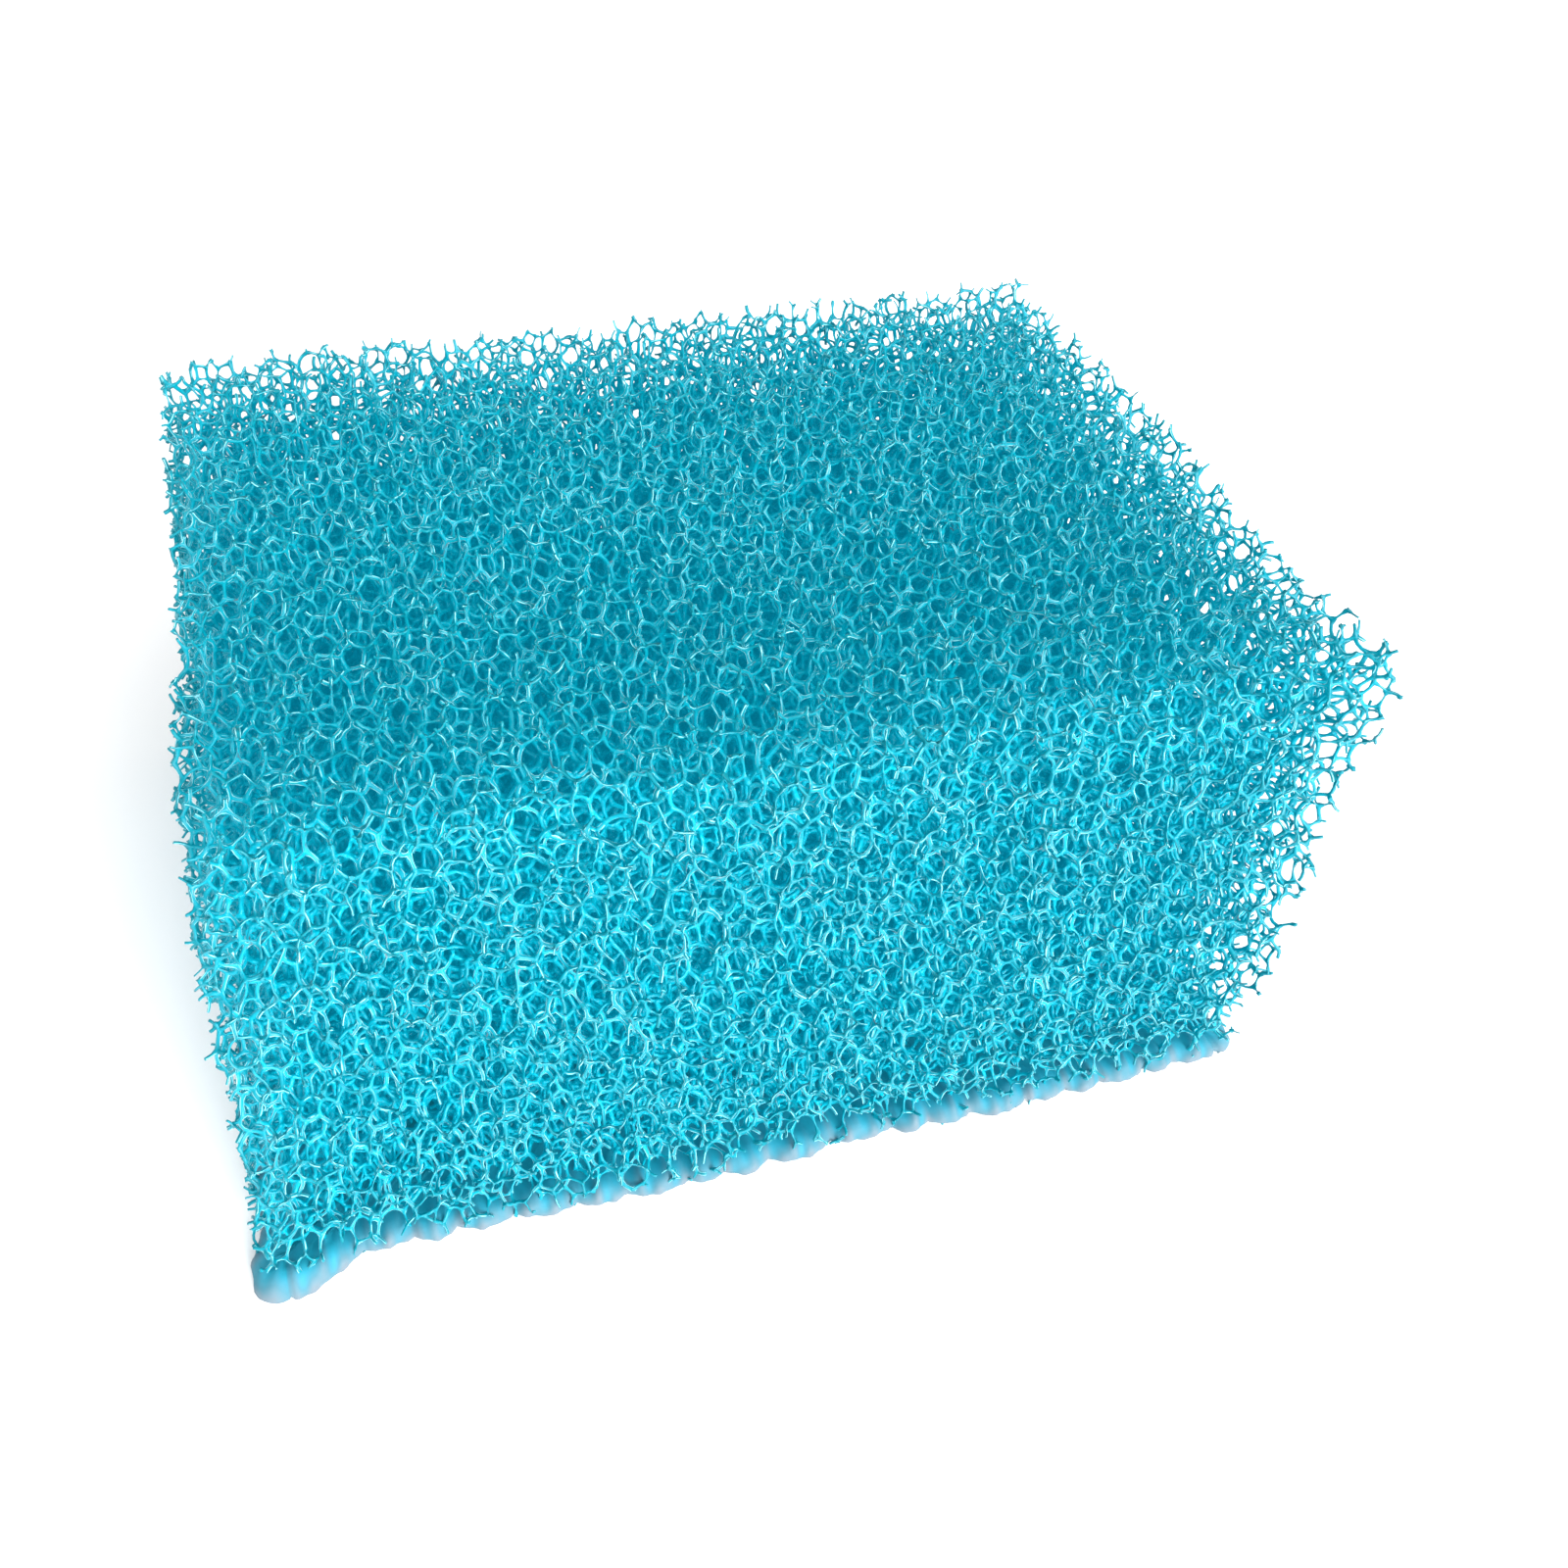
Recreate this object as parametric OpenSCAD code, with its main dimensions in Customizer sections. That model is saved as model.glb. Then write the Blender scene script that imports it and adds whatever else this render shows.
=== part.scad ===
// Block of coarse open-cell filter foam, cut square from a larger bun.
// The block is one solid: the foam's cells are far finer than this model shows.
// Origin: centre of the bottom face. +X along the length, +Y to the back, +Z up.

/* [Block] */
// Length of the block
block_length = 120; // [60:1:240]
// Depth of the block, from front to back
block_depth = 87; // [40:1:180]
// Height of the block
block_height = 65; // [20:1:150]

/* [Cut edges] */
// Radius left at the four upright edges by the cutting wire
upright_edge_r = 1.5; // [0.5:0.25:6]
// Radius left at the edges of the top and bottom faces
level_edge_r = 1; // [0.5:0.25:6]

/* [Hidden] */
foam_blue = [0.16, 0.66, 0.76];
// Extra reach of each cutting outline past the block, so that no two faces coincide
overrun = 1;
$fn = 48;

// A rectangle centred on the origin, with quarter-circle corners
module soft_rectangle(width, height, r) {
    square([width, height - 2 * r], center = true);
    square([width - 2 * r, height], center = true);
    for (side = [-1, 1], end = [-1, 1])
        translate([side * (width / 2 - r), end * (height / 2 - r)])
            circle(r);
}

// The block's plan, swept upwards past its full height
module plan_cut() {
    translate([0, 0, -overrun])
        linear_extrude(block_height + 2 * overrun)
            soft_rectangle(block_length, block_depth, upright_edge_r);
}

// The block's front outline, swept from front to back past its full depth
module front_cut() {
    translate([0, block_depth / 2 + overrun, block_height / 2])
        rotate([90, 0, 0])
            linear_extrude(block_depth + 2 * overrun)
                soft_rectangle(block_length, block_height, level_edge_r);
}

// The block's end outline, swept along its length past both ends
module end_cut() {
    translate([-block_length / 2 - overrun, 0, block_height / 2])
        rotate([90, 0, 90])
            linear_extrude(block_length + 2 * overrun)
                soft_rectangle(block_depth, block_height, level_edge_r);
}

// The foam block: what the three cuts leave of the bun
module foam_block() {
    color(foam_blue)
        intersection() {
            plan_cut();
            front_cut();
            end_cut();
        }
}

foam_block();
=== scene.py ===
"""A block of coarse blue open-cell filter foam, made as what that foam is: one network of struts.

Points spread evenly through the block are the centres of the foam's cells. The corners where four cells
meet are the network's joints, each with four struts, and each strut runs along the line where three cells
meet. The network is then cut to the block, which leaves cut strut ends at its faces.
Lengths are in metres, and the block stands on z = 0 with its front to -Y.
"""

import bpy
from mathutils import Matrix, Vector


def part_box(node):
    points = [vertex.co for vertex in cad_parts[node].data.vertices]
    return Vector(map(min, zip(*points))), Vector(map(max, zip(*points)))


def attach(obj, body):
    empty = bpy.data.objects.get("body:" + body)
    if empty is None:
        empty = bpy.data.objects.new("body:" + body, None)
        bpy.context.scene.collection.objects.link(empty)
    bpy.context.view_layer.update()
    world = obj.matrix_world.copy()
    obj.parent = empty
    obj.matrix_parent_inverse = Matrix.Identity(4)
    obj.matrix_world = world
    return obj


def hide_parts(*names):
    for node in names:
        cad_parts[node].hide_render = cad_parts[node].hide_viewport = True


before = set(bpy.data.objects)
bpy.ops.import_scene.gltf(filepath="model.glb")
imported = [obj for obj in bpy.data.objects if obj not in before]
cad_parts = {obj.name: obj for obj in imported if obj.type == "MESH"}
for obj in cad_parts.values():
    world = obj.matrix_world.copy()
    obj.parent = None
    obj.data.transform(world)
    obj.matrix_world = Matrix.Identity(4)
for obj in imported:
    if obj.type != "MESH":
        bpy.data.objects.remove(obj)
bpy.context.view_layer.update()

import math
from itertools import combinations

import bpy
import numpy as np
from mathutils import Matrix, Vector

MM = 0.001
NODE = "foam_block"
LOW, HIGH = (np.array(corner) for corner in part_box(NODE))
MIDDLE = (LOW + HIGH) / 2
SEED = 11

# The foam's cells
CELL = 3.45 * MM  # cube root of the mean cell's volume
STRETCH = np.array([0.89, 0.91, 1.235])  # cells are taller than wide, as the foam rose
SIZE_MIX = 0.16  # spread of the cells' sizes
SPREAD_ROUNDS = 20
BALL_R = 0.56  # the centres push each other apart as balls of this radius do, in cells
PUSH = 0.22  # share of an overlap that each ball moves by in a round
PAIRS_WITHIN = 1.5  # pairs of balls are looked for this far apart, in cells
PAIRS_EVERY = 5  # and are looked for again every so many rounds
REACH = 2.05  # furthest apart that two cells sharing a corner are looked for, in cells
MARGIN = 2.0  # cells made outside the block, so that those at its faces are whole
RELAX_ROUNDS = 8

# The struts. Each has three ridges, one along each window beside it, and near the block's faces it is
# hollowed between them.
JOINT_R = 0.36 * MM  # centre of a joint to the ridges between two of its struts
JOINT_SHARE = 0.42  # the most of its shortest strut that a joint takes up
HOLLOW = 0.55  # how far out the hollows between ridges stay at a joint
DIMPLE = 0.30  # how far out a joint's face towards a cell stays, in joint radii
STRUT_R = 0.158 * MM  # centre of a strut to its ridges
STRUT_HOLLOW = 0.78  # centre of a strut to its hollows, in ridge radii
STRUT_MIX = 0.24  # spread of the struts' thicknesses
INNER_STRUTS = 1.38  # how much thicker the struts are well inside, so that fewer pores show daylight
INNER_DEPTHS = (1.5 * MM, 4.0 * MM)  # where that starts, and where it is whole
BOW = 0.10  # how far a strut bows off its line, in strut lengths

# The webs: what is left of the films that once closed the foam's windows
WEB_SHARE = 0.16  # share of the corners of windows near the faces that keep a web
WEB_DEPTH = 4.5 * MM
WEB_SIZE = (0.24, 0.52)  # of the struts' lengths
WEB_LEAST = 0.5 * MM  # the shortest strut that a web hangs on
WEB_SAG = 0.36  # how far out the middle of a web's free edge lies: 0.5 would make the edge straight
WEB_HALF = 0.03 * MM  # half a web's thickness

# The tint, the pattern's second coordinate: up to the first value on ridges near the faces, where it picks
# the painted highlight lines, and from the second on the webs and the skin
STRUT_HIGHLIGHT_TINT = 0.85
TINT_WEBS = 0.90
TINT_WEB_MIX = 0.1

# The underside's skin
SKIN_CORNER = 2.5 * MM
SKIN_STEP = 0.4 * MM
SKIN_LOBE = (4 * MM, 8.5 * MM)  # lengths of the rim's lobes
SKIN_LOBE_SIZES = (0.45, 1.0)
SKIN_LOBE_ROUND = 0.6  # below 1 makes the lobes blunt and the notches between them sharp
SKIN_LOBE_OUT = 1.5 * MM
SKIN_CORNER_LOBE = 1.3  # how much more the rim stands out at one corner, in lobes
SKIN_CORNER_REACH = 4 * MM
SKIN_LUMPS = (1.7 * MM, 2.6 * MM, 3.9 * MM)  # lengths of the small lumps on the rim
SKIN_LUMP = 0.08 * MM
SKIN_LUMP_START = 6.3  # about a whole turn: the lumps' waves start anywhere in it
SKIN_LEAN = 1.2  # how far the lumps slant from one ring to the next, at most
SKIN_TALL = (0.7, 0.5, 0.06)  # the rim's height: its own, by lobe and by lump
SKIN_TINT_MIX = 0.012
SKIN_INNER = (0.8, 1.2)  # spread of the inner rings' height
SKIN_PROFILE = (  # from the underside out and up round the rim: (inset, height, tint)
    (1.0 * MM, 0, 1.0),
    (0.50 * MM, 0.1 * MM, 1.0),
    (0.35 * MM, 0.4 * MM, 0.99),
    (0.40 * MM, 0.8 * MM, 0.98),
    (0.65 * MM, 1.2 * MM, 0.965),
    (1.05 * MM, 1.6 * MM, 0.95),
    (1.7 * MM, 1.9 * MM, 0.93),
    (3.0 * MM, 1.9 * MM, 0.91),
    (4.5 * MM, 1.3 * MM, 0.90),
)
SKIN_SHARES = (0.85, 0.6, 0.3)  # inner rings, as shares of the rim's own size

# The cut faces
INSET = -0.55 * MM  # how far inside the block's own faces the mean cut lies: below 0 it is outside them
RAGGED = 0.8 * MM  # strut ends stand up to this far out of the mean cut, or stop up to this short
EDGE_R = 0.9 * MM  # the block's edges are worn round
UNDER_INSET = 0.4 * MM  # how much further in the four sides' cut lies at the underside
UNDER_HEIGHT = 1.2 * MM  # how soon that fades out going up
SHORTEST_END = 0.4 * MM
LONGEST_END = 0.92  # of the whole strut
END_IN_CUT = 0.6  # of the whole strut, where both its corners lie inside the mean cut
PROUD = 1.2 * MM  # the most that a strut end stands out of the block's faces

# Soft foam isn't quite straight. Some corners stand out: (where, how wide, by how much in mm).
# Each face waves: (moved along, varies along, height, length, start).
CORNERS = (
    (np.array([LOW[0], LOW[1], LOW[2]]), 4.5 * MM, (-0.3, -1.5, 0)),
    (np.array([HIGH[0], LOW[1], HIGH[2]]), 6 * MM, (1.2, -0.4, 0.2)),
    (np.array([HIGH[0], HIGH[1], HIGH[2]]), 6 * MM, (0, 0.3, 0.6)),
)
WAVES = (
    (1, 0, 0.35 * MM, 47 * MM, 0.6),
    (1, 2, 0.30 * MM, 52 * MM, 2.1),
    (0, 1, 0.35 * MM, 61 * MM, 1.3),
    (0, 2, 0.30 * MM, 38 * MM, 4.0),
    (2, 0, 0.30 * MM, 71 * MM, 5.2),
    (2, 1, 0.25 * MM, 43 * MM, 0.2),
)

# How finely struts are divided, by their depth below the nearest face
FINE_DEPTH = 3.2 * MM
MIDDLE_DEPTH = 6.5 * MM
PALE_DEPTH = 20 * MM  # where the pattern's first coordinate, the depth, reaches 1
STOPS_FINE = ((0.35, 1.06), (0.65, 1.06))  # rings along a strut: (share of its length, thickness)
STOPS_MIDDLE = ((0.5, 1.0),)
STOPS_PLAIN = ()

# The foam's looks, by depth in the foam as a share of PALE_DEPTH. Both are painted light: the base colour,
# darker at the faces and a fuller, brighter blue deeper in, and the glow stand in for light scattered inside
# the foam
DEPTH_PAINTED_LIGHT = ((0.0, (0.003, 0.16, 0.20)), (0.1, (0.001, 0.21, 0.27)), (0.27, (0.0005, 0.30, 0.39)))
DEPTH_PAINTED_GLOW = (
    (0.0, (0, 0.055, 0.075)),
    (0.05, (0, 0.11, 0.155)),
    (0.12, (0, 0.135, 0.19)),
    (0.2, (0, 0.116, 0.168)),
)

# The painted highlight lines along the ridges, and the webs and the skin, by tint. Their glow is painted
# light too
HIGHLIGHT_WEB_SKIN_SHARE = ((0.48, (0, 0, 0)), (0.76, (1, 1, 1)), (0.88, (1, 1, 1)))
HIGHLIGHT_WEB_SKIN_COLOURS = (
    (0.86, (0.35, 0.69, 0.73)),
    (0.89, (0.01, 0.22, 0.30)),
    (0.92, (0.015, 0.20, 0.28)),
    (0.96, (0.05, 0.15, 0.195)),
    (1, (0.11, 0.145, 0.17)),
)
HIGHLIGHT_WEB_SKIN_GLOW = (
    (0.88, (0.025, 0.17, 0.19)),
    (0.9, (0, 0.06, 0.08)),
    (0.95, (0.005, 0.04, 0.06)),
    (1, (0.02, 0.04, 0.06)),
)

# The roughness by tint, the noise over it and the bumps
MOTTLE_SCALE = (60, 40, 1)
ROUGHNESS = ((0.86, (0.28, 0.28, 0.28)), (0.94, (0.7, 0.7, 0.7)))
NOISE_RANGE = (0.3, 0.7)  # the noise's own values that stand for the ends of MOTTLE
MOTTLE = (0.8, 1.2)  # share of the roughness
BUMP_SIZE = 0.35 * MM
BUMP_HEIGHT = 0.008 * MM
IOR = 1.3

# The network is split into boxes, to keep each mesh small
SPLITS = (6, 3, 2)

# The stage. The room is bright in front of the block and dim behind it: SKY is its brightness by how much
# of a direction points to the bright side.
BRIGHT_SIDE = (0.55, -0.84, 0)
SKY = ((0.2, (0.32, 0.32, 0.32)), (0.95, (5.2, 5.2, 5.2)))
SUNS = (  # (name, way to it, power, width in degrees)
    ("key", (0.28, -0.94, 0.22), 5.9, 36),
    ("glint", (-0.74, -0.06, 0.67), 1.55, 20),
)
FLOOR_REACH = 30.0
FLOOR_COLOUR = (0.94, 0.94, 0.94, 1)
FLOOR_ROUGHNESS = 0.8
LIGHT_BOUNCES = 8

# The camera stands close, to the left of the block's middle, and looks down on its front edge
CAMERA_AT = (-0.0476, -0.1361, 0.1653)
CAMERA_HEADING, CAMERA_TILT, CAMERA_ROLL = -17.5, 90 - 37.2, 3.2
CAMERA_LENS, CAMERA_SENSOR = 35.2, 36.0
CAMERA_SHIFT = (0.070, -0.141)
CAMERA_RANGE = (0.01, 100)


# ---------------------------------------------------------------- cells and their corners


def near_pairs(points, reach):
    """Index pairs of the points less than reach apart."""
    order = np.argsort(points[:, 0], kind="stable")
    p = points[order]
    block = 256
    firsts, seconds = [], []
    for first in range(0, len(p), block):
        last = min(first + block, len(p))
        end = np.searchsorted(p[:, 0], p[last - 1, 0] + reach, side="right")
        a, b = p[first:last], p[first:end]
        apart = (a * a).sum(1)[:, None] + (b * b).sum(1)[None] - 2 * a @ b.T
        i, j = np.nonzero(apart < reach * reach)
        once = j > i
        firsts.append(i[once] + first)
        seconds.append(j[once] + first)
    return order[np.concatenate(firsts)], order[np.concatenate(seconds)]


def cell_centres(low, high, rng):
    """Evenly spread points about 1 apart: one in each cube of a grid, pushed off each other like balls."""
    counts = np.round(high - low).astype(int)
    grid = np.stack(np.meshgrid(*map(np.arange, counts), indexing="ij"), -1).reshape(-1, 3)
    points = low + (grid + rng.random(grid.shape)) * (high - low) / counts
    ball_r = BALL_R * (1 + SIZE_MIX * rng.standard_normal(len(points)).clip(-2, 2))
    for turn in range(SPREAD_ROUNDS):
        if turn % PAIRS_EVERY == 0:
            i, j = near_pairs(points, PAIRS_WITHIN)
        apart = points[i] - points[j]
        gap = np.linalg.norm(apart, axis=1)
        overlap = np.maximum(ball_r[i] + ball_r[j] - gap, 0)
        push = apart * (PUSH * overlap / np.maximum(gap, 1e-9))[:, None]
        points = np.clip(points + sums(i, push, len(points)) - sums(j, push, len(points)), low, high)
    return points[np.argsort(points[:, 0], kind="stable")]


def sums(index, vectors, count):
    """The vectors added up by index."""
    return np.stack([np.bincount(index, vectors[:, axis], count) for axis in range(3)], 1)


def cell_corners(centres):
    """Each place with four cells around it: (the four cells, the place). No other centre is nearer to it."""
    i, j = near_pairs(centres, REACH)
    heads, tails = np.concatenate([i, j]), np.concatenate([j, i])
    order = np.lexsort((tails, heads))
    heads, tails = heads[order], tails[order]
    start = np.searchsorted(heads, np.arange(len(centres) + 1))
    triples, fours, places = {}, [], []
    for cell, centre in enumerate(centres):
        near = tails[start[cell] : start[cell + 1]]
        offset = centres[near] - centre
        half = 0.5 * (offset * offset).sum(1)
        later = np.nonzero(near > cell)[0]
        if len(later) < 3:
            continue
        if len(later) not in triples:
            triples[len(later)] = np.array(list(combinations(range(len(later)), 3))).T
        trio = later[triples[len(later)]]
        a, b, c = offset[trio]
        bc, ca, ab = np.cross(b, c), np.cross(c, a), np.cross(a, b)
        volume = (a * bc).sum(1)
        with np.errstate(divide="ignore", invalid="ignore"):
            place = sum(half[t][:, None] * n for t, n in zip(trio, (bc, ca, ab))) / volume[:, None]
            close = (place * place).sum(1) < (REACH / 2) ** 2
        trio, place = trio[:, close], place[close]
        alone = (half[None] - place @ offset.T).min(1) > -1e-9
        trio, place = trio[:, alone], place[alone]
        fours.append(np.column_stack([np.full(len(place), cell), near[trio].T]))
        places.append(place + centre)
    return np.sort(np.concatenate(fours), 1), np.concatenate(places)


def join_corners(cells, cell_count):
    """Struts between corners that share three cells: the two corners, and the side that each is left by."""
    keys = []
    for side in range(4):
        a, b, c = np.delete(cells, side, axis=1).T.astype(np.int64)
        keys.append((a * cell_count + b) * cell_count + c)
    key = np.concatenate(keys)
    corner = np.tile(np.arange(len(cells)), 4)
    side = np.repeat(np.arange(4), len(cells))
    order = np.argsort(key, kind="stable")
    same = np.nonzero(key[order][1:] == key[order][:-1])[0]
    one, other = order[same], order[same + 1]
    return corner[one], corner[other], side[one], side[other]


def relaxed(places, a, b):
    """The corners, each drawn towards the middle of its four neighbours, as surface tension does."""
    joined = np.bincount(a, minlength=len(places)) + np.bincount(b, minlength=len(places))
    whole = joined == 4
    for _ in range(RELAX_ROUNDS):
        middle = (sums(a, places[b], len(places)) + sums(b, places[a], len(places))) / 4
        places = np.where(whole[:, None], 0.5 * (places + middle), places)
    return places, whole


# ---------------------------------------------------------------- cutting the network to the block


def depth_in_block(points):
    """How far inside the mean cut the points are, negative outside it. The cut's edges are rounded."""
    middle, half = (LOW + HIGH) / 2, (HIGH - LOW) / 2 - INSET
    drawn_in = UNDER_INSET * np.exp(-np.maximum(points[:, 2:] - LOW[2], 0) / UNDER_HEIGHT)
    beyond = np.abs(points - middle) - (half - EDGE_R) + drawn_in * [1, 1, 0]
    outside = np.linalg.norm(np.maximum(beyond, 0), axis=1)
    return EDGE_R - outside - np.minimum(beyond.max(1), 0)


def in_one_piece(kept, a, b):
    """The kept corners that hang together with the most others. Loose scraps fall away when foam is cut."""
    held = kept[a] & kept[b]
    a, b = a[held], b[held]
    group = np.arange(len(kept))
    while True:
        least = np.minimum(group[a], group[b])
        if (least == group[a]).all() and (least == group[b]).all():
            break
        np.minimum.at(group, a, least)
        np.minimum.at(group, b, least)
        group = group[group]
    return kept & (group == np.bincount(group[kept]).argmax())


def unit(vectors):
    return vectors / np.maximum(np.linalg.norm(vectors, axis=-1, keepdims=True), 1e-12)


class Network:
    """The foam's corners and struts inside the block. Each strut's end is the share of it left by the cut."""

    def __init__(self, rng):
        scale = CELL * STRETCH
        low, high = LOW / scale - MARGIN, HIGH / scale + MARGIN
        centres = cell_centres(low, high, rng)
        cells, places = cell_corners(centres)
        a, b, side_a, side_b = join_corners(cells, len(centres))
        places, whole = relaxed(places, a, b)
        self.place = places * scale
        self.depth = depth_in_block(self.place)
        kept = in_one_piece(whole & (self.depth > 0), a, b)
        self.kept = np.nonzero(kept)[0]
        self.toward = np.zeros((len(places), 4, 3))
        self.toward[a, side_a] = self.place[b] - self.place[a]
        self.toward[b, side_b] = self.place[a] - self.place[b]
        self.reach = np.linalg.norm(self.toward, axis=2)
        self.shortest = self.reach.min(1)
        self.toward = unit(self.toward)
        self.fine = self.depth < FINE_DEPTH
        self.pick_struts(kept, a, b, side_a, side_b, rng)
        self.joint_windows()
        self.pick_webs(rng)

    def pick_struts(self, kept, a, b, side_a, side_b, rng):
        """Keeps the struts with a kept corner, turned so that it comes first, and finds where each is cut."""
        turned = kept[b] & ~kept[a]
        a, b = np.where(turned, b, a), np.where(turned, a, b)
        side_a, side_b = np.where(turned, side_b, side_a), np.where(turned, side_a, side_b)
        held = kept[a]
        self.a, self.b, self.side_a, self.side_b = a[held], b[held], side_a[held], side_b[held]
        self.cut = ~kept[self.b]
        inner, outer = self.depth[self.a], self.depth[self.b]
        length = np.linalg.norm(self.place[self.b] - self.place[self.a], axis=1)
        at_face = np.where(outer < 0, inner / np.maximum(inner - outer, 1e-9), END_IN_CUT)
        ragged = RAGGED * rng.uniform(-1, 1, len(self.a)) / length
        self.end = np.where(self.cut, np.clip(at_face + ragged, 0, LONGEST_END), 1.0)
        self.missing = self.cut & (self.end * length < SHORTEST_END)
        self.thick = STRUT_R * np.exp(STRUT_MIX * rng.standard_normal(len(self.a)))
        middle = (self.depth[self.a] + self.depth[self.b]) / 2
        self.thick *= np.interp(middle, INNER_DEPTHS, (1, INNER_STRUTS))
        # The tints place painted highlight lines on the ridges of struts and joints near the faces; a joint's
        # tint also varies the colour of its webs
        self.tint = STRUT_HIGHLIGHT_TINT * rng.random(len(self.a)) ** 0.5
        self.joint_tint = STRUT_HIGHLIGHT_TINT * rng.random(len(self.place)) ** 0.5
        self.bow = BOW * length[:, None] * unit(rng.standard_normal((len(self.a), 3)))
        self.reach[self.a, self.side_a] = np.where(self.missing, 0, self.end * length)

    def pick_webs(self, rng):
        """The size of the web in each window of each corner, in strut lengths, or 0 for none."""
        drawn = rng.random((len(self.place), len(WINDOWS))) < WEB_SHARE
        size = rng.uniform(*WEB_SIZE, drawn.shape)
        near = (self.depth < WEB_DEPTH)[:, None]
        both = np.stack([self.reach[:, other_two(pair)].min(1) for pair in WINDOWS], 1)
        self.web = np.where(drawn & near & (both > WEB_LEAST), size, 0)

    def joint_windows(self):
        """The six ridge points of each corner, one towards each window between two of its struts."""
        self.joint_r = np.minimum(JOINT_R, JOINT_SHARE * self.shortest)[:, None]
        self.window = np.stack(
            [
                self.place + self.joint_r * unit(self.toward[:, across[0]] + self.toward[:, across[1]])
                for across in (other_two(pair) for pair in WINDOWS)
            ],
            1,
        )

    def joint_hollows(self, corners):
        """The twelve hollows of each corner, three round each strut, in the order of HOLLOWS."""
        points = []
        for strut, cell in HOLLOWS:
            pair = [w for w in STRUT_WINDOWS[strut] if w in CELL_WINDOWS[cell]]
            place, along = self.place[corners], self.toward[corners, strut]
            middle = self.window[corners][:, pair].mean(1) - place
            on_axis = (middle * along).sum(1, keepdims=True) * along
            points.append(place + on_axis + HOLLOW * (middle - on_axis))
        return np.stack(points, 1)


# A corner's cells, and its struts, are numbered 0 to 3, and strut n is the one that cell n doesn't touch.
# A window lies between two cells, and between the two other struts.
WINDOWS = list(combinations(range(4), 2))


def other_two(pair):
    return [n for n in range(4) if n not in pair]


STRUT_WINDOWS = np.array([[w for w, pair in enumerate(WINDOWS) if n not in pair] for n in range(4)])
CELL_WINDOWS = np.array([[w for w, pair in enumerate(WINDOWS) if n in pair] for n in range(4)])
HOLLOWS = [(strut, cell) for strut in range(4) for cell in range(4) if cell != strut]


def hollow_between(window, other):
    """The number of the hollow that lies between these two windows' ridges."""
    cell = (set(WINDOWS[window]) & set(WINDOWS[other])).pop()
    strut = (set(range(4)) - set(WINDOWS[window]) - set(WINDOWS[other])).pop()
    return HOLLOWS.index((strut, cell))


STRUT_HOLLOWS = np.array([[hollow_between(w[n], w[(n + 1) % 3]) for n in range(3)] for w in STRUT_WINDOWS])
CELL_HOLLOWS = np.array([[hollow_between(w[n], w[(n + 1) % 3]) for n in range(3)] for w in CELL_WINDOWS])


# ---------------------------------------------------------------- meshes


class Surface:
    """Vertices and triangles gathered for one mesh. Each vertex has its depth and its tint."""

    def __init__(self):
        self.points, self.depths, self.tints, self.triangles, self.flat = [], [], [], [], []
        self.count = 0

    def add_points(self, points, tints, ridges=1):
        """Adds points of shape (n, k, 3) and returns their numbers, of shape (n, k).

        The tints go to all of the k points (ridges is 1), to none of them (0) or to every second one (2).
        The underside doesn't count as a face for the depth, because little light reaches it.
        """
        numbers = self.count + np.arange(points.shape[0] * points.shape[1]).reshape(points.shape[:2])
        self.count += numbers.size
        flat = points.reshape(-1, 3)
        self.points.append(flat)
        raised = np.column_stack([flat[:, :2], np.maximum(flat[:, 2], MIDDLE[2])])
        self.depths.append(depth_in_block(raised))
        ridge = np.zeros(points.shape[1])
        if ridges:
            ridge[::ridges] = 1
        self.tints.append((np.broadcast_to(tints, len(points))[:, None] * ridge).ravel())
        return numbers

    def add_triangles(self, corners, flipped, flat=False):
        """Adds triangles by their vertex numbers, turned over where flipped says so."""
        turned = np.where(flipped[:, None], corners[:, ::-1], corners)
        self.triangles.append(turned)
        self.flat.append(np.full(len(turned), flat))

    def mesh(self, name):
        points = soft_shape(np.concatenate(self.points))
        depths, tints = np.concatenate(self.depths), np.concatenate(self.tints)
        triangles = np.concatenate(self.triangles).astype(np.int32)
        mesh = bpy.data.meshes.new(name)
        mesh.vertices.add(len(points))
        mesh.vertices.foreach_set("co", points.ravel().astype(np.float32))
        mesh.loops.add(triangles.size)
        mesh.loops.foreach_set("vertex_index", triangles.ravel())
        mesh.polygons.add(len(triangles))
        mesh.polygons.foreach_set("loop_start", np.arange(0, triangles.size, 3, dtype=np.int32))
        mesh.update(calc_edges=True)
        flat = mesh.attributes.new("sharp_face", "BOOLEAN", "FACE")
        flat.data.foreach_set("value", np.concatenate(self.flat))
        pattern = np.column_stack([np.clip(depths / PALE_DEPTH, 0, 1), tints])
        uv = mesh.uv_layers.new(name="OFBake")
        uv.data.foreach_set("uv", pattern[triangles.ravel()].ravel().astype(np.float32))
        return mesh


def soft_shape(points):
    """The points, moved as soft foam bulges and waves. None goes below the underside."""
    shaped = points.copy()
    for at, spread, bulge in CORNERS:
        near = np.exp(-((points - at) ** 2).sum(1, keepdims=True) / (2 * spread**2))
        shaped += near * (np.array(bulge) * MM)
    for axis, across, height, length, start in WAVES:
        shaped[:, axis] += height * np.sin(2 * np.pi * points[:, across] / length + start)
    shaped[:, 2] = np.maximum(shaped[:, 2], LOW[2])
    return shaped


def facing(points, numbers, direction):
    """True where the triangles of these points look along direction."""
    a, b, c = (points[np.arange(len(points)), numbers[:, n]] for n in range(3))
    return (np.cross(b - a, c - a) * direction).sum(1) > 0


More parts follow.
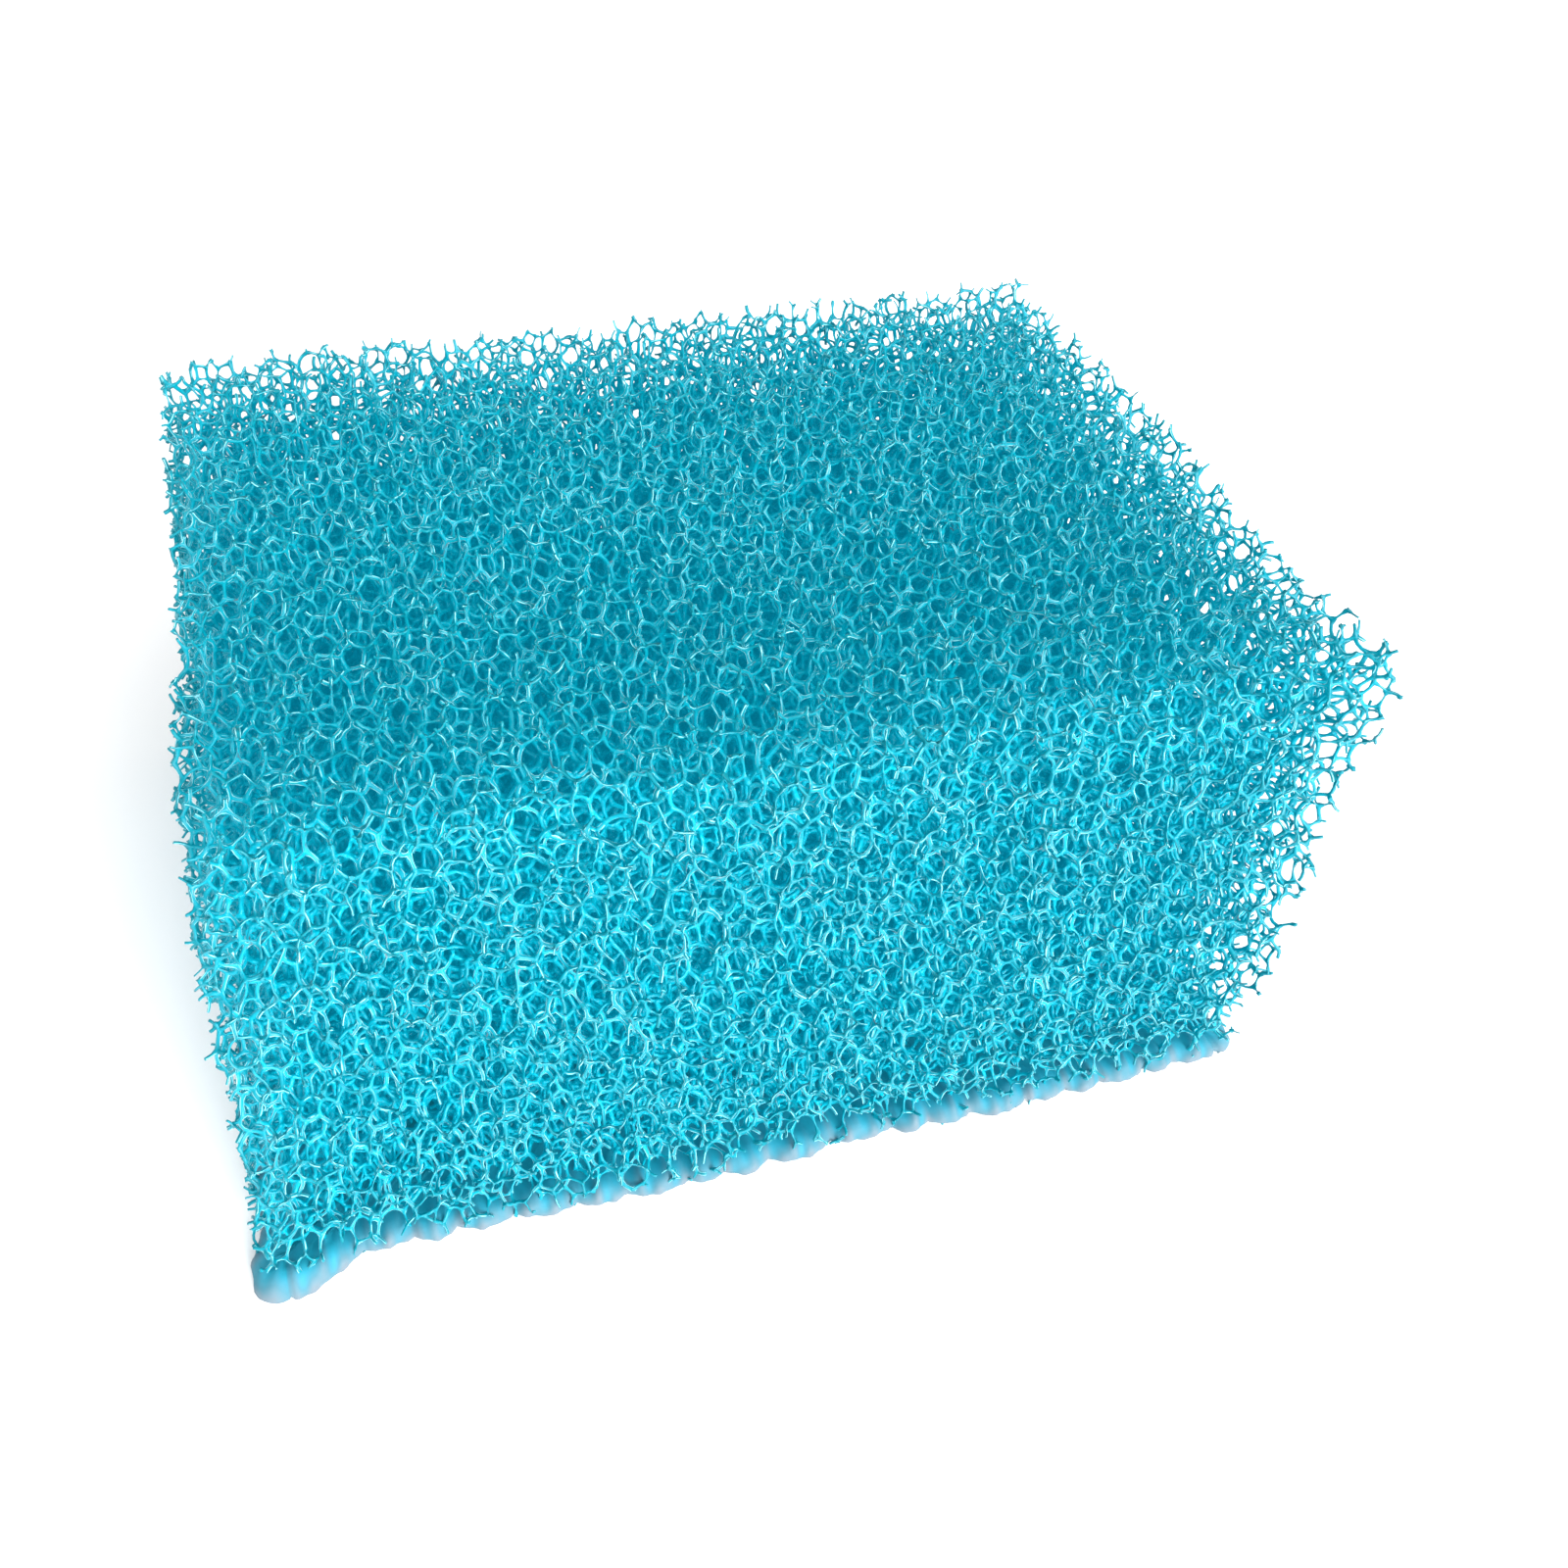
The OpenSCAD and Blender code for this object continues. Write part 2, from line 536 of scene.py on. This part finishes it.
def add_joints(surface, net, corners):
    """The joint of each corner, without its struts. Returns the numbers of its ridge and hollow vertices."""
    # Ridges of joints near the faces carry the tint of the painted highlight lines
    ridges = surface.add_points(net.window[corners], net.joint_tint[corners] * net.fine[corners])
    hollows = np.full((len(corners), len(HOLLOWS)), -1)
    fine = np.nonzero(net.fine[corners])[0]
    plain = np.nonzero(~net.fine[corners])[0]
    if len(fine):
        hollows[fine] = surface.add_points(net.joint_hollows(corners[fine]), 0, ridges=0)
    for cell in range(4):
        pick = np.tile(CELL_WINDOWS[cell], (len(corners), 1))
        inward = ~facing(net.window[corners], pick, -net.toward[corners, cell])
        surface.add_triangles(ridges[plain][:, CELL_WINDOWS[cell]], inward[plain])
        if len(fine):
            at = corners[fine]
            dimples = net.place[at] - DIMPLE * net.joint_r[at] * net.toward[at, cell]
            middle = surface.add_points(dimples[:, None], 0)[:, 0]
            for n in range(3):
                ridge, following = (ridges[fine, CELL_WINDOWS[cell][m % 3]] for m in (n, n + 1))
                hollow = hollows[fine, CELL_HOLLOWS[cell][n]]
                surface.add_triangles(np.column_stack([ridge, hollow, middle]), inward[fine])
                surface.add_triangles(np.column_stack([hollow, following, middle]), inward[fine])
    return ridges, hollows


def ring_directions(net, corner, side, along):
    """Unit vectors square to the strut, from its axis towards its three windows."""
    rows = np.arange(len(corner))[:, None]
    offset = net.window[corner][rows, STRUT_WINDOWS[side]] - net.place[corner][:, None]
    return unit(offset - (offset * along[:, None]).sum(2, keepdims=True) * along[:, None])


def interleaved(ridges, hollows):
    """Ridge, hollow, ridge, hollow, ridge, hollow: the order round a hollowed strut."""
    return np.stack([ridges, hollows], 2).reshape(len(ridges), 6, *ridges.shape[2:])


def add_struts(surface, net, struts, numbers, here, stops, hollowed):
    """Struts through rings at the given stops along them. Ends outside this mesh are closed."""
    a, b, side_a, side_b = net.a[struts], net.b[struts], net.side_a[struts], net.side_b[struts]
    start, whole = net.place[a], net.place[b] - net.place[a]
    along = unit(whole)
    from_a = ring_directions(net, a, side_a, along)
    from_b = ring_directions(net, b, side_b, along)

    def ring(t, thick):
        t = np.broadcast_to(t, len(struts))[:, None]
        arc = 4 * t * (1 - t)
        centre = (start + t * whole + arc * net.bow[struts])[:, None]
        out = unit((1 - t[:, None]) * from_a + t[:, None] * from_b)
        ridges = centre + thick[:, None, None] * out
        if not hollowed:
            return ridges
        between = unit(out + np.roll(out, -1, axis=1))
        return interleaved(ridges, centre + STRUT_HOLLOW * thick[:, None, None] * between)

    rings = [joint_ring(net, a, side_a, here, numbers)]
    for stop, swell in stops:
        shape = ring(stop * net.end[struts], net.thick[struts] * swell)
        rings.append(surface.add_points(shape, net.tint[struts] * hollowed, 1 + hollowed))
    rings.append(last_ring(surface, net, struts, ring, here, numbers))
    look = facing(net.window[a], STRUT_WINDOWS[side_a], along)
    for near, far in zip(rings, rings[1:]):
        join_rings(surface, near, far, ~look)
    open_end = net.cut[struts] | (here[b] < 0)
    if open_end.any():
        close_ring(surface, rings[-1][open_end], ~look[open_end])


def joint_ring(net, corner, side, here, numbers):
    """The vertices of a joint's opening towards one of its struts."""
    ridges, hollows = numbers
    row = here[corner][:, None]
    ridge = ridges[row, STRUT_WINDOWS[side]]
    if not net.fine[corner[0]]:
        return ridge
    return interleaved(ridge, hollows[row, STRUT_HOLLOWS[side]])


def join_rings(surface, near, far, flipped):
    """The skin between two rings, of three or of six vertices each."""
    if near.shape[1] == far.shape[1]:
        for n in range(near.shape[1]):
            m = (n + 1) % near.shape[1]
            surface.add_triangles(np.column_stack([near[:, n], near[:, m], far[:, m]]), flipped)
            surface.add_triangles(np.column_stack([near[:, n], far[:, m], far[:, n]]), flipped)
        return
    turned = near.shape[1] < far.shape[1]
    six, three = (far, near) if turned else (near, far)
    if turned:
        flipped = ~flipped
    for n in range(3):
        m = (n + 1) % 3
        ridge, hollow, following = six[:, 2 * n], six[:, 2 * n + 1], six[:, 2 * m]
        surface.add_triangles(np.column_stack([ridge, hollow, three[:, n]]), flipped)
        surface.add_triangles(np.column_stack([hollow, three[:, m], three[:, n]]), flipped)
        surface.add_triangles(np.column_stack([hollow, following, three[:, m]]), flipped)


def close_ring(surface, ring, flipped):
    """A flat cap over a ring."""
    if ring.shape[1] == 3:
        surface.add_triangles(ring, flipped, flat=True)
        return
    surface.add_triangles(ring[:, [1, 3, 5]], flipped, flat=True)
    for n in (1, 3, 5):
        surface.add_triangles(ring[:, [n, (n + 1) % 6, (n + 2) % 6]], flipped, flat=True)


def last_ring(surface, net, struts, ring, here, numbers):
    """The far joint's own vertices where it is in this mesh, a copy of them where it isn't, or the cut end.

    All these struts are cut, or none is, and their far joints are alike.
    """
    b, side_b = net.b[struts], net.side_b[struts]
    if net.cut[struts[0]]:
        shape = flush(ring(net.end[struts], net.thick[struts]))
        hollowed = shape.shape[1] == 6
        return surface.add_points(shape, net.tint[struts] * hollowed, 1 + hollowed)
    rows = np.arange(len(b))[:, None]
    copy = net.window[b][rows, STRUT_WINDOWS[side_b]]
    if net.fine[b[0]]:
        copy = interleaved(copy, net.joint_hollows(b)[rows, STRUT_HOLLOWS[side_b]])
    joined = here[b] >= 0
    last = np.zeros(copy.shape[:2], int)
    if joined.any():
        last[joined] = joint_ring(net, b[joined], side_b[joined], here, numbers)
    if not joined.all():
        hollowed = copy.shape[1] == 6
        last[~joined] = surface.add_points(copy[~joined], net.joint_tint[b[~joined]] * hollowed, 1 + hollowed)
    return last


def flush(rings):
    """Cut ends as the blade leaves them: none stands far out of the block's faces."""
    return np.clip(rings, LOW - PROUD, HIGH + PROUD)


PLAIN_KIND = 16  # struts that are alike share a kind, and from this number up they are three-sided


def stops_of(kind):
    """The rings along struts of this kind: fewer deeper in the foam."""
    if kind < PLAIN_KIND:
        return STOPS_FINE
    return STOPS_MIDDLE if kind >= PLAIN_KIND + 2 else STOPS_PLAIN


def foam_part(name, net, corners, struts):
    """The mesh of these corners and the struts that begin at them."""
    surface = Surface()
    here = np.full(len(net.place), -1)
    here[corners] = np.arange(len(corners))
    numbers = add_joints(surface, net, corners)
    struts = struts[~net.missing[struts]]
    a, b = net.a[struts], net.b[struts]
    hollowed = net.fine[a] | (net.fine[b] & ~net.cut[struts])
    fine_ends = 4 * net.fine[a] + 2 * (net.fine[b] & ~net.cut[struts])
    middle = net.depth[a] < MIDDLE_DEPTH
    kind = np.where(hollowed, fine_ends, PLAIN_KIND + 2 * middle) + net.cut[struts]
    for each in np.unique(kind):
        add_struts(surface, net, struts[kind == each], numbers, here, stops_of(each), each < PLAIN_KIND)
    close_openings(surface, net, corners, struts, numbers, here)
    add_webs(surface, net, corners)
    return surface.mesh(name)


def close_openings(surface, net, corners, struts, numbers, here):
    """Closes each joint where no strut of this mesh leaves it."""
    taken = np.zeros((len(corners), 4), bool)
    taken[here[net.a[struts]], net.side_a[struts]] = True
    ends = struts[~net.cut[struts] & (here[net.b[struts]] >= 0)]
    taken[here[net.b[ends]], net.side_b[ends]] = True
    which, side = np.nonzero(~taken)
    for fine in (False, True):
        alike = net.fine[corners[which]] == fine
        if alike.any():
            corner, leave = corners[which[alike]], side[alike]
            outward = facing(net.window[corner], STRUT_WINDOWS[leave], net.toward[corner, leave])
            close_ring(surface, joint_ring(net, corner, leave, here, numbers), ~outward)


def add_plates(surface, outlines, normals, tints):
    """Thin closed plates: outlines of k points with a middle point, and the same again on the other side."""
    sides = outlines.shape[1]
    middle = outlines.mean(1, keepdims=True)
    sheet = np.concatenate([outlines, middle], 1)
    shift = WEB_HALF * normals[:, None]
    numbers = surface.add_points(np.concatenate([sheet + shift, sheet - shift], 1), tints)
    top, below = numbers[:, : sides + 1], numbers[:, sides + 1 :]
    first, second = outlines[:, 0] - middle[:, 0], outlines[:, 1] - middle[:, 0]
    turned = (np.cross(first, second) * normals).sum(1) < 0
    for n in range(sides):
        m = (n + 1) % sides
        surface.add_triangles(np.column_stack([top[:, n], top[:, m], top[:, sides]]), turned, flat=True)
        surface.add_triangles(np.column_stack([below[:, m], below[:, n], below[:, sides]]), turned, flat=True)
        surface.add_triangles(np.column_stack([below[:, n], below[:, m], top[:, m]]), turned, flat=True)
        surface.add_triangles(np.column_stack([below[:, n], top[:, m], top[:, n]]), turned, flat=True)


def add_webs(surface, net, corners):
    """The webs left in some corners of windows, between two struts of a joint."""
    for window, pair in enumerate(WINDOWS):
        one, other = other_two(pair)
        at = corners[net.web[corners, window] > 0]
        if not len(at):
            continue
        size = net.web[at, window][:, None]
        left = size * net.reach[at, one][:, None] * net.toward[at, one]
        right = size * net.reach[at, other][:, None] * net.toward[at, other]
        shape = np.stack([0 * left, left, WEB_SAG * (left + right), right], 1) + net.place[at][:, None]
        normals = unit(np.cross(left, right))
        add_plates(surface, shape, normals, TINT_WEBS + TINT_WEB_MIX * net.joint_tint[at])


def skin_outline():
    """The underside's outline in even steps: the places, their outward directions and the way along it."""
    half = (HIGH - LOW)[:2] / 2 - SKIN_CORNER
    sides = 2 * np.array([half[0], half[1], half[0], half[1]])
    quarter = SKIN_CORNER * math.pi / 2
    steps = np.arange(0, sides.sum() + 4 * quarter, SKIN_STEP)
    places, outward = [], []
    for along in steps:
        side = 0
        while along > sides[side] + quarter:
            along -= sides[side] + quarter
            side += 1
        turn = side * math.pi / 2 + max(along - sides[side], 0) / SKIN_CORNER
        corner = half * ((-1, -1), (1, -1), (1, 1), (-1, 1))[side]
        ahead = np.array([math.cos(side * math.pi / 2), math.sin(side * math.pi / 2)])
        out = np.array([math.sin(turn), -math.cos(turn)])
        places.append(corner + min(along, sides[side]) * ahead + SKIN_CORNER * out)
        outward.append(out)
    return np.array(places), np.array(outward), steps


def skin_lobes(steps, length, rng):
    """How far the rim stands out at each step: 0 between two lobes, up to 1 on them, more at one corner."""
    sizes = rng.uniform(*SKIN_LOBE, round(2 * length / sum(SKIN_LOBE)))
    ends = np.cumsum(sizes) * length / sizes.sum()
    starts = np.concatenate([[0], ends[:-1]])
    which = np.searchsorted(ends, steps, side="right").clip(max=len(ends) - 1)
    share = (steps - starts[which]) / (ends - starts)[which]
    lobes = rng.uniform(*SKIN_LOBE_SIZES, len(ends))[which] * np.sin(math.pi * share) ** SKIN_LOBE_ROUND
    from_start = np.minimum(steps, length - steps)
    return lobes + SKIN_CORNER_LOBE * np.exp(-((from_start / SKIN_CORNER_REACH) ** 2))


def add_skin(surface, rng):
    """The underside's skin: foam pressed flat and smooth, thicker along its lobed rim."""
    places, outward, steps = skin_outline()
    count = len(steps)
    length = count * SKIN_STEP
    lobes = skin_lobes(steps, length, rng)
    waves = [
        (round(length / each), rng.uniform(0, SKIN_LUMP_START), rng.uniform(-SKIN_LEAN, SKIN_LEAN))
        for each in SKIN_LUMPS
    ]
    own, by_lobe, by_lump = SKIN_TALL
    rings = []
    for row, (inset, height, tint) in enumerate(SKIN_PROFILE):
        lump = sum(
            np.sin(2 * math.pi * turns * steps / length + start + row * lean) for turns, start, lean in waves
        )
        out = SKIN_LOBE_OUT * lobes - inset + SKIN_LUMP * lump * (height > 0)
        tall = height * (own + by_lobe * lobes + by_lump * lump)
        at = places + out[:, None] * outward
        tints = np.clip(tint + SKIN_TINT_MIX * lump, TINT_WEBS, 1)
        rings.append((np.column_stack([at, LOW[2] + tall]), tints))
    rim = rings[-1][0]
    for share in SKIN_SHARES:
        tall = rng.uniform(*SKIN_INNER, count) * SKIN_PROFILE[-1][1]
        rings.append((np.column_stack([share * rim[:, :2], LOW[2] + tall]), TINT_WEBS))
    numbers = [surface.add_points(points[:, None], tint)[:, 0] for points, tint in rings]
    upright = np.zeros(count, bool)
    for near, far in zip(numbers, numbers[1:]):
        surface.add_triangles(np.column_stack([near, np.roll(near, -1), np.roll(far, -1)]), upright)
        surface.add_triangles(np.column_stack([near, np.roll(far, -1), far]), upright)
    for ring, height, turned in ((numbers[-1], SKIN_PROFILE[-1][1], False), (numbers[0], 0, True)):
        tip = surface.add_points(np.array([[[0, 0, LOW[2] + height]]]), TINT_WEBS)[0]
        fan = np.column_stack([ring, np.roll(ring, -1), np.repeat(tip, count)])
        surface.add_triangles(fan, upright | turned)


def add_piece(name, mesh, material):
    """A piece of the foam, which stands for the whole block's body."""
    mesh.materials.append(material)
    piece = bpy.data.objects.new(name, mesh)
    bpy.context.scene.collection.objects.link(piece)
    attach(piece, "root")
    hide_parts(NODE)


def build_foam(material):
    """The struts in boxes of the block, and the skin."""
    rng = np.random.default_rng(SEED)
    net = Network(rng)
    share = (net.place - LOW) / (HIGH - LOW)
    slab = np.clip((share * SPLITS).astype(int), 0, np.array(SPLITS) - 1)
    part_of = (slab[:, 0] * SPLITS[1] + slab[:, 1]) * SPLITS[2] + slab[:, 2]
    for part in range(int(np.prod(SPLITS))):
        corners = net.kept[part_of[net.kept] == part]
        struts = np.nonzero(part_of[net.a] == part)[0]
        name = f"foam_part_{part + 1:02d}"
        add_piece(name, foam_part(name, net, corners, struts), material)
    skin = Surface()
    add_skin(skin, rng)
    add_piece("foam_skin", skin.mesh("foam_skin"), material)


# ---------------------------------------------------------------- material


def add_ramp(nodes, links, value, stops):
    """A colour ramp over a value."""
    ramp = nodes.new("ShaderNodeValToRGB")
    elements = ramp.color_ramp.elements
    for n, (position, colour) in enumerate(stops):
        if n > 1:
            elements.new(position)
        elements[n].position, elements[n].color = position, (*colour, 1)
    links.new(value, ramp.inputs["Fac"])
    return ramp.outputs["Color"]


def add_colours(nodes, links, shader, depth, tint):
    """Colour and glow by depth, both painted light, with the painted highlight lines, the webs and the skin
    over them by tint.
    """
    shader.inputs["Emission Strength"].default_value = 1.0
    highlight_web_skin_share = add_ramp(nodes, links, tint, HIGHLIGHT_WEB_SKIN_SHARE)
    for by_depth, by_tint, socket in (
        (DEPTH_PAINTED_LIGHT, HIGHLIGHT_WEB_SKIN_COLOURS, "Base Color"),
        (DEPTH_PAINTED_GLOW, HIGHLIGHT_WEB_SKIN_GLOW, "Emission Color"),
    ):
        mix = nodes.new("ShaderNodeMix")
        mix.data_type = "RGBA"
        links.new(highlight_web_skin_share, mix.inputs["Factor"])
        links.new(add_ramp(nodes, links, depth, by_depth), mix.inputs["A"])
        links.new(add_ramp(nodes, links, tint, by_tint), mix.inputs["B"])
        links.new(mix.outputs["Result"], shader.inputs[socket])


def add_roughness(nodes, links, shader, pattern, tint):
    """Glossy struts and a duller skin, both mottled by noise."""
    stretched = nodes.new("ShaderNodeVectorMath")
    stretched.operation = "MULTIPLY"
    stretched.inputs[1].default_value = MOTTLE_SCALE
    links.new(pattern, stretched.inputs[0])
    noise = nodes.new("ShaderNodeTexNoise")
    noise.inputs["Scale"].default_value = 1.0
    links.new(stretched.outputs["Vector"], noise.inputs["Vector"])
    share = nodes.new("ShaderNodeMapRange")
    share.inputs["From Min"].default_value, share.inputs["From Max"].default_value = NOISE_RANGE
    share.inputs["To Min"].default_value, share.inputs["To Max"].default_value = MOTTLE
    links.new(noise.outputs["Fac"], share.inputs["Value"])
    mottled = nodes.new("ShaderNodeMath")
    mottled.operation = "MULTIPLY"
    links.new(share.outputs["Result"], mottled.inputs[0])
    links.new(add_ramp(nodes, links, tint, ROUGHNESS), mottled.inputs[1])
    links.new(mottled.outputs["Value"], shader.inputs["Roughness"])


def add_bumps(nodes, links):
    """A fine unevenness of every surface."""
    place = nodes.new("ShaderNodeTexCoord")
    noise = nodes.new("ShaderNodeTexNoise")
    noise.inputs["Scale"].default_value = 1 / BUMP_SIZE
    links.new(place.outputs["Object"], noise.inputs["Vector"])
    height = nodes.new("ShaderNodeDisplacement")
    height.inputs["Midlevel"].default_value = 0.5
    height.inputs["Scale"].default_value = BUMP_HEIGHT
    links.new(noise.outputs["Fac"], height.inputs["Height"])
    links.new(height.outputs["Displacement"], nodes["Material Output"].inputs["Displacement"])


def foam_material():
    """Blue polyurethane with painted light: darker at the faces and a fuller, brighter blue deeper in for
    light scattered inside the foam, and painted highlight lines on ridges near the faces.

    The pattern's first coordinate is the depth below the block's faces and its second is the tint.
    The light inside real foam is scattered from strut to strut many more times than a render follows, so the
    struts glow to stand in for that light.
    """
    material = bpy.data.materials.new("blue_foam")
    material.use_nodes = True
    material.cycles.emission_sampling = "NONE"
    nodes, links = material.node_tree.nodes, material.node_tree.links
    shader = nodes["Principled BSDF"]
    shader.inputs["IOR"].default_value = IOR
    pattern = nodes.new("ShaderNodeUVMap")
    pattern.uv_map = "OFBake"
    parts = nodes.new("ShaderNodeSeparateXYZ")
    links.new(pattern.outputs["UV"], parts.inputs[0])
    depth, tint = parts.outputs["X"], parts.outputs["Y"]
    add_colours(nodes, links, shader, depth, tint)
    add_roughness(nodes, links, shader, pattern.outputs["UV"], tint)
    add_bumps(nodes, links)
    return material


# ---------------------------------------------------------------- stage


def build_floor():
    """A plain white floor."""
    mesh = bpy.data.meshes.new("floor")
    x = y = FLOOR_REACH
    mesh.from_pydata([(-x, -y, 0), (x, -y, 0), (x, y, 0), (-x, y, 0)], [], [(0, 1, 2, 3)])
    floor = bpy.data.objects.new("floor", mesh)
    bpy.context.scene.collection.objects.link(floor)
    material = bpy.data.materials.new("pale_floor")
    material.use_nodes = True
    shader = material.node_tree.nodes["Principled BSDF"]
    shader.inputs["Base Color"].default_value = FLOOR_COLOUR
    shader.inputs["Roughness"].default_value = FLOOR_ROUGHNESS
    mesh.materials.append(material)


def sun(name, toward, power, width):
    """A far light: toward points from the block to it."""
    data = bpy.data.lights.new(name, "SUN")
    data.energy, data.angle = power, math.radians(width)
    light = bpy.data.objects.new(name, data)
    bpy.context.scene.collection.objects.link(light)
    light.rotation_euler = Vector(toward).to_track_quat("Z", "Y").to_euler()


def build_lights():
    """The room's light, and two suns that each light up the other's shadows."""
    world = bpy.data.worlds.new("studio")
    world.use_nodes = True
    nodes, links = world.node_tree.nodes, world.node_tree.links
    way = nodes.new("ShaderNodeTexCoord")
    ahead = nodes.new("ShaderNodeVectorMath")
    ahead.operation = "DOT_PRODUCT"
    ahead.inputs[1].default_value = BRIGHT_SIDE
    links.new(way.outputs["Generated"], ahead.inputs[0])
    sky = add_ramp(nodes, links, ahead.outputs["Value"], SKY)
    links.new(sky, nodes["Background"].inputs["Color"])
    bpy.context.scene.world = world
    for light in SUNS:
        sun(*light)


def build_camera():
    data = bpy.data.cameras.new("camera")
    data.lens, data.sensor_width = CAMERA_LENS, CAMERA_SENSOR
    data.shift_x, data.shift_y = CAMERA_SHIFT
    data.clip_start, data.clip_end = CAMERA_RANGE
    camera = bpy.data.objects.new("camera", data)
    bpy.context.scene.collection.objects.link(camera)
    heading = Matrix.Rotation(math.radians(CAMERA_HEADING), 4, "Z")
    tilt = Matrix.Rotation(math.radians(CAMERA_TILT), 4, "X")
    roll = Matrix.Rotation(math.radians(CAMERA_ROLL), 4, "Z")
    camera.matrix_world = Matrix.Translation(CAMERA_AT) @ heading @ tilt @ roll
    bpy.context.scene.camera = camera


def main():
    build_camera()
    build_floor()
    build_lights()
    build_foam(foam_material())
    scene = bpy.context.scene
    scene.view_settings.view_transform = "Standard"
    scene.cycles.diffuse_bounces = LIGHT_BOUNCES


main()
